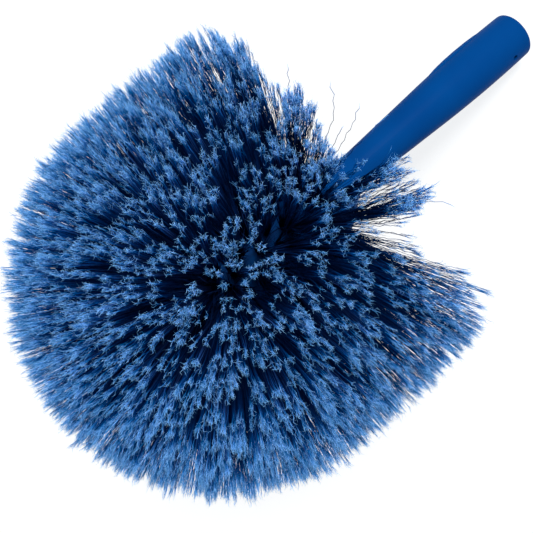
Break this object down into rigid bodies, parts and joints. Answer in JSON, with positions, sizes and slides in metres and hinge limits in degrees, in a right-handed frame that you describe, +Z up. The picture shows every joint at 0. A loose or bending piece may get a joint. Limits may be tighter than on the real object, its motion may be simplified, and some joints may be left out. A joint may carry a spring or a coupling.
{
  "type": "round duster",
  "caption": "Round ceiling duster head: a domed brush block set with long flagged bristles, on a tapered socket that takes a screw-in handle.",
  "frame": {"origin": "middle of the brush's box, on the floor that it lies on", "axes": "+X towards the handle socket, +Z up; the brush's own axis falls towards +X at 34 degrees to the floor, as it lies on its bristles and on the rim of its socket"},
  "size_m": [0.2932, 0.2202, 0.2402],
  "materials": {
    "moulded_plastic": "satin moulded plastic",
    "bristle": "fine flagged filament, darker towards the block"
  },
  "bodies": {
    "root": {"block": "moulded_plastic", "tuft_nose1_01": "bristle", "tuft_nose1_02": "bristle", "tuft_nose1_03": "bristle", "tuft_nose1_04": "bristle", "tuft_nose1_05": "bristle", "tuft_nose1_06": "bristle", "tuft_nose1_07": "bristle", "tuft_nose1_08": "bristle", "tuft_nose1_09": "bristle", "tuft_nose1_10": "bristle", "tuft_nose2_01": "bristle", "tuft_nose2_02": "bristle", "tuft_nose2_03": "bristle", "tuft_nose2_04": "bristle", "tuft_nose2_05": "bristle", "tuft_nose2_06": "bristle", "tuft_nose2_07": "bristle", "tuft_nose3_01": "bristle", "tuft_nose3_02": "bristle", "tuft_nose3_03": "bristle", "tuft_nose3_04": "bristle", "tuft_nose4_01": "bristle", "tuft_row1_01": "bristle", "tuft_row1_02": "bristle", "tuft_row1_03": "bristle", "tuft_row1_04": "bristle", "tuft_row1_05": "bristle", "tuft_row1_06": "bristle", "tuft_row1_07": "bristle", "tuft_row1_08": "bristle", "tuft_row2_01": "bristle", "tuft_row2_02": "bristle", "tuft_row2_03": "bristle", "tuft_row2_04": "bristle", "tuft_row2_05": "bristle", "tuft_row2_06": "bristle", "tuft_row2_07": "bristle", "tuft_row2_08": "bristle", "tuft_row3_01": "bristle", "tuft_row3_02": "bristle", "tuft_row3_03": "bristle", "tuft_row3_04": "bristle", "tuft_row3_05": "bristle", "tuft_row3_06": "bristle", "tuft_row3_07": "bristle", "tuft_row3_08": "bristle", "tuft_row4_01": "bristle", "tuft_row4_02": "bristle", "tuft_row4_03": "bristle", "tuft_row4_04": "bristle", "tuft_row4_05": "bristle", "tuft_row4_06": "bristle", "tuft_row4_07": "bristle", "tuft_row4_08": "bristle"}
  },
  "joints": []
}
